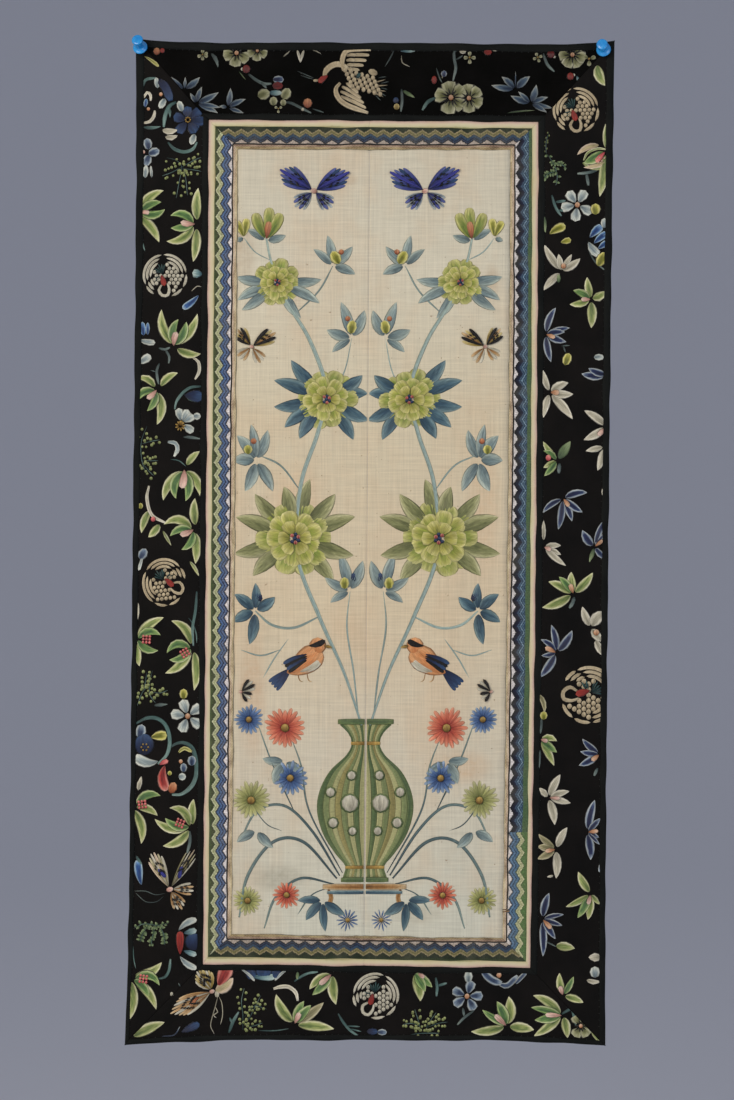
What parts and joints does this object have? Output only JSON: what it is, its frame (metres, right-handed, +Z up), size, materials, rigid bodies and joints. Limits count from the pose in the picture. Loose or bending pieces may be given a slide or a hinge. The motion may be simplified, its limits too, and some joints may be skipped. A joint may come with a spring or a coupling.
{
  "type": "silk embroidery panel with push pins",
  "caption": "Hanging panel of embroidered ivory silk bands in a mitred black silk frame, held at its top corners by push pins.",
  "frame": {"origin": "middle of the top edge, on the wall plane behind the cloth", "axes": "+Z up along the panel's height, +X to the right as seen from the front, +Y into the wall; the embroidered front faces -Y"},
  "size_m": [0.352, 0.0224, 0.7239],
  "materials": {
    "ivory_silk": "satin",
    "metallic_braid": "satin",
    "zigzag_ribbon": "matte",
    "cream_silk": "satin",
    "black_silk": "satin",
    "black_binding": "satin",
    "embroidery_silk": "satin",
    "blue_plastic": "gloss",
    "needle_steel": "polished"
  },
  "bodies": {
    "root": {"field_left": "ivory_silk", "field_right": "ivory_silk", "braid_left": "metallic_braid", "braid_right_upper": "metallic_braid", "braid_right_lower": "metallic_braid", "braid_top_left": "metallic_braid", "braid_top_right": "metallic_braid", "braid_bottom_left": "metallic_braid", "braid_bottom_right": "metallic_braid", "ribbon_left": "zigzag_ribbon", "ribbon_right_upper": "zigzag_ribbon", "ribbon_right_lower": "zigzag_ribbon", "ribbon_top_left": "zigzag_ribbon", "ribbon_top_right": "zigzag_ribbon", "ribbon_bottom_left": "zigzag_ribbon", "ribbon_bottom_right": "zigzag_ribbon", "cream_left": "cream_silk", "cream_right_upper": "cream_silk", "cream_right_lower": "cream_silk", "cream_top_left": "cream_silk", "cream_top_right": "cream_silk", "cream_bottom_left": "cream_silk", "cream_bottom_right": "cream_silk", "inner_binding_top": "black_binding", "inner_binding_bottom": "black_binding", "inner_binding_left": "black_binding", "inner_binding_right": "black_binding", "border_top": "black_silk", "border_bottom": "black_silk", "border_left": "black_silk", "border_right": "black_silk", "outer_binding_top": "black_binding", "outer_binding_bottom": "black_binding", "outer_binding_left": "black_binding", "outer_binding_right": "black_binding", "pin_head_left": "blue_plastic", "pin_head_right": "blue_plastic", "pin_needle_left": "needle_steel", "pin_needle_right": "needle_steel"}
  },
  "joints": []
}
